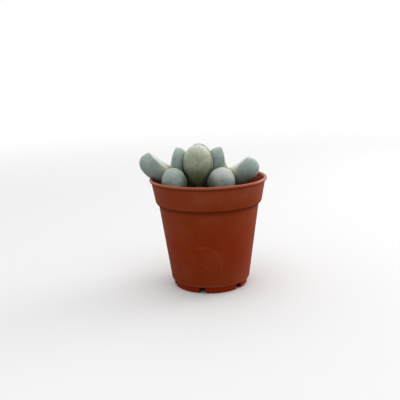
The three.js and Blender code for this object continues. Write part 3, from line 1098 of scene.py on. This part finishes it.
def with_marks(finish, tint, shared):
    """Adds the soft-edged marks that single leaves bear, and broad darker and paler patches, some of
    them painted light and shade.
    """
    for middle, radius, strength, name in LEAF_MARKS:
        size = radius * MM
        ragged = finish.distance(Vector(middle) * MM) + 0.5 * size * finish.noise(0.7 * MM)
        dot = finish.fade(ragged, 0.35 * size, 1.35 * size)
        tint = finish.mix(strength * dot, tint, getattr(shared, name))
    return tint


def with_spots(finish, tint, spot):
    """Adds sparse round brown spots and a finer speckle to a leaf's colour."""
    for size, density, strength in ((3.4, 0.62, 0.55), (1.3, 0.55, 0.3)):
        here = finish.patches(2.5 * size * MM, density, density + 0.1, detail=1)
        tint = finish.mix(strength * finish.dots(size * MM, 0.07, 0.16) * here, tint, spot)
    return tint


class KAROO_OT_head(Operator):
    """Builds the leaves of one head, each making way for the leaves before it"""

    bl_idname = "karoo.head"
    bl_label = "Head of leaves"

    head: StringProperty(name="Head", description="Which of the three heads", default="centre_head")

    def execute(self, context):
        shared = settings().leaf
        material = skin_of("young_leaf" if HEADS[self.head][0].young else "leaf", shared)
        for leaf in HEADS[self.head]:
            node = f"{self.head}_{leaf.name}"
            crown = CROWNS[self.head]
            piece = leaf_form(f"{node}_skin", leaf, crown, shared, material)
            cut(piece, plant_pieces(piece), shared.contact_gap)
            measure_leaf(piece, leaf, crown)
            shade(piece, crease=40)
            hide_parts(node)
            "young_leaf" if leaf.young else "leaf"
            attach(piece, BODY)
        return {"FINISHED"}


def skin_of(slot, shared):
    """The skin of a kind of leaf, made once."""
    found = bpy.data.materials.get(f"{slot}_skin")
    if found:
        return found
    return young_skin(shared) if slot == "young_leaf" else old_skin(shared)


def plant_pieces(but=None):
    """The rootstock and the leaves that are there so far, in the order of their making."""
    leaves = [f"{head}_{leaf.name}_skin" for head, leaves in HEADS.items() for leaf in leaves]
    found = [bpy.data.objects.get(name) for name in ["woody_rootstock", *leaves]]
    return [piece for piece in found if piece and piece != but]


# Middle and reach of the mound, and sizes of the waves, clods and grains, in millimetres
MOUND_X, MOUND_Y = -4.0, 4.0
MOUND_REACH_X, MOUND_REACH_Y = 17.0, 15.0
WAVE_SIZE, CLOD_SIZE, GRAIN_SIZE = 6.5, 1.7, 0.55

# Rings of the bed's top, its gaps to the pot and the plant, how far it keeps clear of the step over
# the foot, and how it dips at the wall
BED_RINGS = 70
BED_GAP = 0.12 * MM
PLANT_GAP = 0.02 * MM
BED_FOOT_INSET, BED_FOOT_RISE = 1.2 * MM, 1 * MM
WALL_DIP, WALL_DIP_WIDTH = 0.3 * MM, 1.5 * MM

# Kinds of crumb by the place of their material, and how often each comes
CLOD, CHIP, GRIT = 0, 1, 2
CRUMB_SHARES = (6, 3, 1)
CRUMB_SEED = 11

# Radius of the smallest crumbs as a share, before the power that makes small ones common, how far
# a crumb's middle lies over the ground as a share of its radius, its tilt in radians, how uneven it
# is, and the proportions of grains and of chips
SMALLEST_CRUMB, CRUMB_POWER = 0.28, 1.5
CRUMB_LIFT, CRUMB_TILT, CRUMB_ROUGHNESS = 0.25, 0.35, 0.5
GRAIN_SHAPE, CHIP_SHAPE = (1.0, 0.8, 0.65), (1.3, 0.65, 0.28)

# How dark the painted shade on the soil is where neighbours crowd it
SOIL_SHADE = 0.8


def soil_surface(x, y, soil):
    """Height of the mound and its crumbs over the level, in metres, at a place in millimetres."""
    away = math.hypot((x - MOUND_X) / MOUND_REACH_X, (y - MOUND_Y) / MOUND_REACH_Y)
    waves = noise.noise(Vector((x, y, 0)) / WAVE_SIZE)
    clods = noise.turbulence(Vector((x, y, 3)) / CLOD_SIZE, 3, False)
    grains = noise.noise(Vector((x, y, 7)) / GRAIN_SIZE)
    crumbly = soil.relief * (0.8 * waves + 0.75 * (clods - 0.8) + 0.22 * grains)
    return soil.mound * (1 - smoothstep(away, 0, 1)) + crumbly


def shaded_soil_colour(finish, tint):
    """A colour of the soil, darkened by painted shade where neighbours crowd it."""
    return finish.mix(SOIL_SHADE * sheltered(finish), tint, settings().soil.shaded_peat)


def potting_mix(soil):
    """Dark peat that dries paler on its high spots."""
    finish = Finish("crumbly_mix")
    grain = finish.noise(0.7 * MM, detail=4, roughness=0.7)
    peat = finish.mix(finish.step(grain, 0.45, 0.72), soil.peat, soil.peat_dry)
    finish.feed({"Base Color": shaded_soil_colour(finish, peat), "Roughness": 0.95})
    finish.bump(grain, 0.25 * MM)
    return finish.material


def mineral(name, light, dark):
    """Loose grains, each a little lighter or darker."""
    finish = Finish(name)
    tint = finish.mix(finish.patches(0.9 * MM, 0.3, 0.7, detail=3, roughness=0.6), dark, light)
    finish.feed({"Base Color": shaded_soil_colour(finish, tint), "Roughness": 0.9})
    finish.bump(finish.noise(0.25 * MM, detail=3), 0.06 * MM)
    return finish.material


class KAROO_OT_soil(Operator):
    """Fills the pot with potting mix and strews crumbs, bark and grit on it"""

    bl_idname = "karoo.soil"
    bl_label = "Potting mix"

    def execute(self, context):
        soil, pot = settings().soil, settings().pot
        piece = new_piece("crumbly_potting_mix", self.bed(soil, pot), potting_mix(soil))
        cut(piece, plant_pieces(), PLANT_GAP)
        self.strew(piece, soil, pot)
        shade(piece, crease=50)
        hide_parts("soil")
        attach(piece, BODY)
        return {"FINISHED"}

    def bed(self, soil, pot):
        """The body of the mix, closed below and with its relief on top."""
        foot_radius = inner_radius(pot, pot.foot_height)
        bottom = pot.floor_top + BED_GAP
        edge = inner_radius(pot, soil.level) - BED_GAP
        bm = spun([
            (0, bottom, 0),
            (foot_radius - BED_FOOT_INSET, bottom, 0),
            (foot_radius - BED_GAP, pot.foot_height + BED_FOOT_RISE, 0),
            (inner_radius(pot, pot.body_top) - BED_GAP, pot.body_top, 0),
            (inner_radius(pot, pot.collar_bottom) - BED_GAP, pot.collar_bottom, 0),
            *[(edge * (1 - ring / BED_RINGS), soil.level, 0) for ring in range(BED_RINGS + 1)],
        ], SOIL_STEPS)
        for vert in bm.verts:
            if vert.co.z > soil.level - 0.01 * MM:
                x, y = vert.co.x / MM, vert.co.y / MM
                at_wall = smoothstep(math.hypot(x, y), (edge - WALL_DIP_WIDTH) / MM, edge / MM)
                vert.co.z += soil_surface(x, y, soil) - WALL_DIP * at_wall
        return bm

    def strew(self, piece, soil, pot):
        """Adds loose crumbs in the bed's own mesh, clear of the plant and the pot."""
        piece.data.materials.append(mineral("bark_chips", soil.bark, soil.peat))
        piece.data.materials.append(mineral("pumice_grit", soil.pumice, soil.peat_dry))
        bed = bmesh.new()
        bed.from_mesh(piece.data)
        ground = BVHTree.FromBMesh(bed)
        grain = bpy.data.meshes.new("grain")
        graph = bpy.context.evaluated_depsgraph_get()
        walls = [BVHTree.FromObject(other, graph) for other in plant_pieces()]
        rng = random.Random(CRUMB_SEED)
        reach = inner_radius(pot, soil.level)
        for _ in range(soil.crumb_count):
            radius = soil.crumb_size * rng.uniform(SMALLEST_CRUMB, 1.0) ** CRUMB_POWER
            away = (reach - radius - 0.2 * MM) * math.sqrt(rng.random())
            turn = rng.uniform(0, math.tau)
            kind = rng.choices((CLOD, CHIP, GRIT), CRUMB_SHARES)[0]
            spin = [rng.uniform(0, math.tau) for _ in range(3)]
            seed = rng.uniform(0, 50)
            above = polar(away, turn, soil.level + 2 * soil.mound)
            place = ground.ray_cast(above, Vector((0, 0, -1)), 3 * soil.mound)[0]
            if place is None:
                continue
            place.z += CRUMB_LIFT * radius
            if any(wall.find_nearest(place, radius)[0] for wall in walls):
                continue
            self.shape_crumb(grain, place, radius, kind, spin, seed)
            bed.from_mesh(grain)
        bed.to_mesh(piece.data)
        bed.free()
        bpy.data.meshes.remove(grain)

    def shape_crumb(self, grain, place, radius, kind, spin, seed):
        """Makes one crumb of a mesh: a clod of peat, a chip of bark or a grain of grit."""
        bm = bmesh.new()
        shape = Matrix.Rotation(spin[0], 4, "Z")
        for axis, turn in zip("XY", spin[1:]):
            shape = shape @ Matrix.Rotation(CRUMB_TILT * math.sin(turn), 4, axis)
        shape = shape @ Matrix.Diagonal((*(CHIP_SHAPE if kind == CHIP else GRAIN_SHAPE), 1))
        if kind == CLOD:
            bmesh.ops.create_icosphere(bm, subdivisions=1, radius=1)
        elif kind == CHIP:
            bmesh.ops.create_cube(bm, size=1.7)
            bmesh.ops.bevel(
                bm, geom=bm.edges[:], offset=0.3, segments=1, profile=0.5, affect="EDGES",
                material=-1)
        else:
            bmesh.ops.create_uvsphere(bm, u_segments=7, v_segments=5, radius=1)
        for vert in bm.verts:
            uneven = noise.noise(vert.co * 1.3 + Vector((seed, seed, 0)))
            vert.co = place + (shape @ (vert.co * (1 + CRUMB_ROUGHNESS * uneven))) * radius
        for face in bm.faces:
            face.material_index = kind
        bm.to_mesh(grain)
        bm.free()


# A direction counts from this share of upright on, a neighbour at the end of the reach has this share
# of the weight of a near one, and spots this far under the soil's level aren't measured
GRAZING, FAR_WEIGHT = 0.1, 0.5
BURIED = 1 * MM


class KAROO_OT_shelter(Operator):
    """Measures how sheltered each spot of the plant and the soil is, to paint shade where neighbours
    crowd
    """

    bl_idname = "karoo.shelter"
    bl_label = "Shelter between the leaves"

    reach: length("Reach", "How near a neighbour has to be", 9.0)
    start: length("Start", "How far over its surface a spot is measured", 0.25)
    rays: count("Rays", "Directions that each spot is measured in", 26, least=8)

    def execute(self, context):
        soil = bpy.data.objects["crumbly_potting_mix"]
        buried = settings().soil.level - BURIED
        leaves = [piece for piece in plant_pieces() if piece.name.endswith("_skin")]
        around = bmesh.new()
        for piece in [*leaves, soil, bpy.data.objects["moulded_pot"]]:
            around.from_mesh(piece.data)
        tree = BVHTree.FromBMesh(around)
        around.free()
        directions = self.directions()
        for piece in [*leaves, soil]:
            values = [
                self.cover(tree, vert.co, vert.normal, directions) if vert.co.z > buried else 1.0
                for vert in piece.data.vertices]
            attribute = piece.data.attributes.new("shelter", "FLOAT", "POINT")
            attribute.data.foreach_set("value", values)
        return {"FINISHED"}

    def directions(self):
        """Directions spread evenly over a whole ball."""
        golden = math.pi * (3 - math.sqrt(5))
        found = []
        for index in range(self.rays):
            height = 1 - (2 * index + 1) / self.rays
            found.append(polar(math.sqrt(1 - height * height), golden * index, height))
        return found

    def cover(self, tree, place, normal, directions):
        """Share of the open side that neighbours block, with near ones counting more."""
        origin = place + normal * self.start
        total, blocked = 0.0, 0.0
        for direction in directions:
            weight = normal.dot(direction)
            if weight < GRAZING:
                continue
            total += weight
            away = tree.ray_cast(origin, direction, self.reach)[3]
            if away is not None:
                blocked += weight * (1 - (1 - FAR_WEIGHT) * away / self.reach)
        return blocked / total if total else 1.0


# Place and size of the soft lights, in metres
OVERHEAD_PLACE, OVERHEAD_SIZE = (0.0, -0.15, 0.5), 0.4
SIDE_PLACE, SIDE_SIZE = (0.5, 0.25, 0.22), 0.35

# Share of the floor's radius at which it is gone, its corners, and how near the camera sees, in metres
FLOOR_GONE = 0.5
FLOOR_CORNERS = 128
CLIP_START = 0.01


class KAROO_OT_stage(Operator):
    """Sets up the pale floor, the soft light and the camera"""

    bl_idname = "karoo.stage"
    bl_label = "Stage"

    def execute(self, context):
        stage = settings().stage
        scene = context.scene
        scene.view_settings.view_transform = "Standard"
        self.floor(stage)
        self.sky(scene, stage)
        self.softbox("overhead", OVERHEAD_PLACE, OVERHEAD_SIZE, stage.overhead_power)
        self.softbox("right", SIDE_PLACE, SIDE_SIZE, stage.side_power)
        self.camera(scene, stage)
        return {"FINISHED"}

    def floor(self, stage):
        """A round floor that melts into the backdrop far from the pot."""
        bm = bmesh.new()
        bmesh.ops.create_circle(
            bm, cap_ends=True, segments=FLOOR_CORNERS, radius=stage.floor_radius)
        finish = Finish("floor")
        seen = finish.node("ShaderNodeLightPath", output="Is Camera Ray")
        finish.feed({
            "Base Color": finish.mix(seen, stage.floor_bounce, stage.floor_colour),
            "Roughness": 0.8,
            "Specular IOR Level": 0.1,
        })
        away = finish.distance((0, 0, 0))
        shown = finish.node("ShaderNodeMixShader", inputs={
            0: finish.step(away, stage.floor_fade, FLOOR_GONE * stage.floor_radius),
            1: Signal(finish, finish.shader.outputs[0]),
            2: finish.node("ShaderNodeBsdfTransparent"),
        })
        finish.fill(finish.tree.nodes["Material Output"].inputs, {"Surface": shown})
        floor = new_piece("floor", bm, finish.material)

    def sky(self, scene, stage):
        """A plain white backdrop whose light is stronger behind the plant and on the right."""
        scene.world = bpy.data.worlds.new("studio")
        nodes = Nodes(scene.world)
        direction = nodes.node("ShaderNodeTexCoord", output="Generated")
        right, back = [0.5 + 0.5 * part for part in nodes.parts(direction)[:2]]
        light = stage.sky_even + stage.sky_behind * (back * back) + stage.sky_right * (right * right)
        seen = nodes.node("ShaderNodeLightPath", output="Is Camera Ray")
        nodes.fill(nodes.tree.nodes["Background"].inputs, {
            "Color": (1, 1, 1, 1), "Strength": stage.backdrop * seen + light * (1 - seen)})

    def softbox(self, name, place, size, power):
        """A square soft light that looks at the plant."""
        light = bpy.data.lights.new(name, "AREA")
        light.shape = "SQUARE"
        light.size = size
        light.energy = power
        lamp = bpy.data.objects.new(name, light)
        lamp.location = place
        aim = RIM_MIDDLE - Vector(place)
        lamp.rotation_euler = aim.to_track_quat("-Z", "Y").to_euler()
        bpy.context.scene.collection.objects.link(lamp)

    def camera(self, scene, stage):
        """The camera, placed by where it sees the middle of the rim."""
        data = bpy.data.cameras.new("camera")
        data.lens = stage.lens
        data.clip_start = CLIP_START
        camera = bpy.data.objects.new("camera", data)
        scene.collection.objects.link(camera)
        tilt = Matrix.Rotation(math.pi / 2 - stage.elevation, 4, "X")
        turn = tilt @ Matrix.Rotation(stage.roll, 4, "Z")
        seen = Vector((stage.aim_right, stage.aim_up, -stage.distance))
        camera.matrix_world = Matrix.Translation(RIM_MIDDLE - turn.to_3x3() @ seen) @ turn
        scene.camera = camera


class KAROO_PT_panel(Panel):
    """Lists the pieces of the potted karoo rose"""

    bl_idname = "KAROO_PT_panel"
    bl_label = "Potted Karoo Rose"
    bl_space_type = "VIEW_3D"
    bl_region_type = "UI"
    bl_category = "Karoo Rose"

    def draw(self, context):
        column = self.layout.column()
        for operator in (KAROO_OT_pot, KAROO_OT_rootstock):
            column.operator(operator.bl_idname)
        for head in HEADS:
            label = head.replace("_", " ").capitalize()
            column.operator(KAROO_OT_head.bl_idname, text=label).head = head
        for operator in (KAROO_OT_soil, KAROO_OT_shelter, KAROO_OT_stage):
            column.operator(operator.bl_idname)
        for group in ("pot", "soil", "root", "leaf", "stage"):
            box = self.layout.box()
            box.label(text=group.capitalize())
            values = getattr(settings(), group)
            for name in values.__annotations__:
                box.prop(values, name)


CLASSES = (
    PotSettings, SoilSettings, RootSettings, LeafSettings, StageSettings, PlantSettings, KAROO_OT_pot,
    KAROO_OT_rootstock, KAROO_OT_head, KAROO_OT_soil, KAROO_OT_shelter, KAROO_OT_stage, KAROO_PT_panel)


def register():
    """Adds the operators, the panel and the settings."""
    for cls in CLASSES:
        bpy.utils.register_class(cls)
    bpy.types.Scene.karoo_rose = PointerProperty(type=PlantSettings)


def unregister():
    """Takes them away again."""
    del bpy.types.Scene.karoo_rose
    for cls in reversed(CLASSES):
        bpy.utils.unregister_class(cls)


def main():
    register()
    bpy.ops.karoo.pot()
    bpy.ops.karoo.rootstock()
    for head in HEADS:
        bpy.ops.karoo.head(head=head)
    bpy.ops.karoo.soil()
    bpy.ops.karoo.shelter()
    bpy.ops.karoo.stage()


if __name__ == "__main__":
    main()
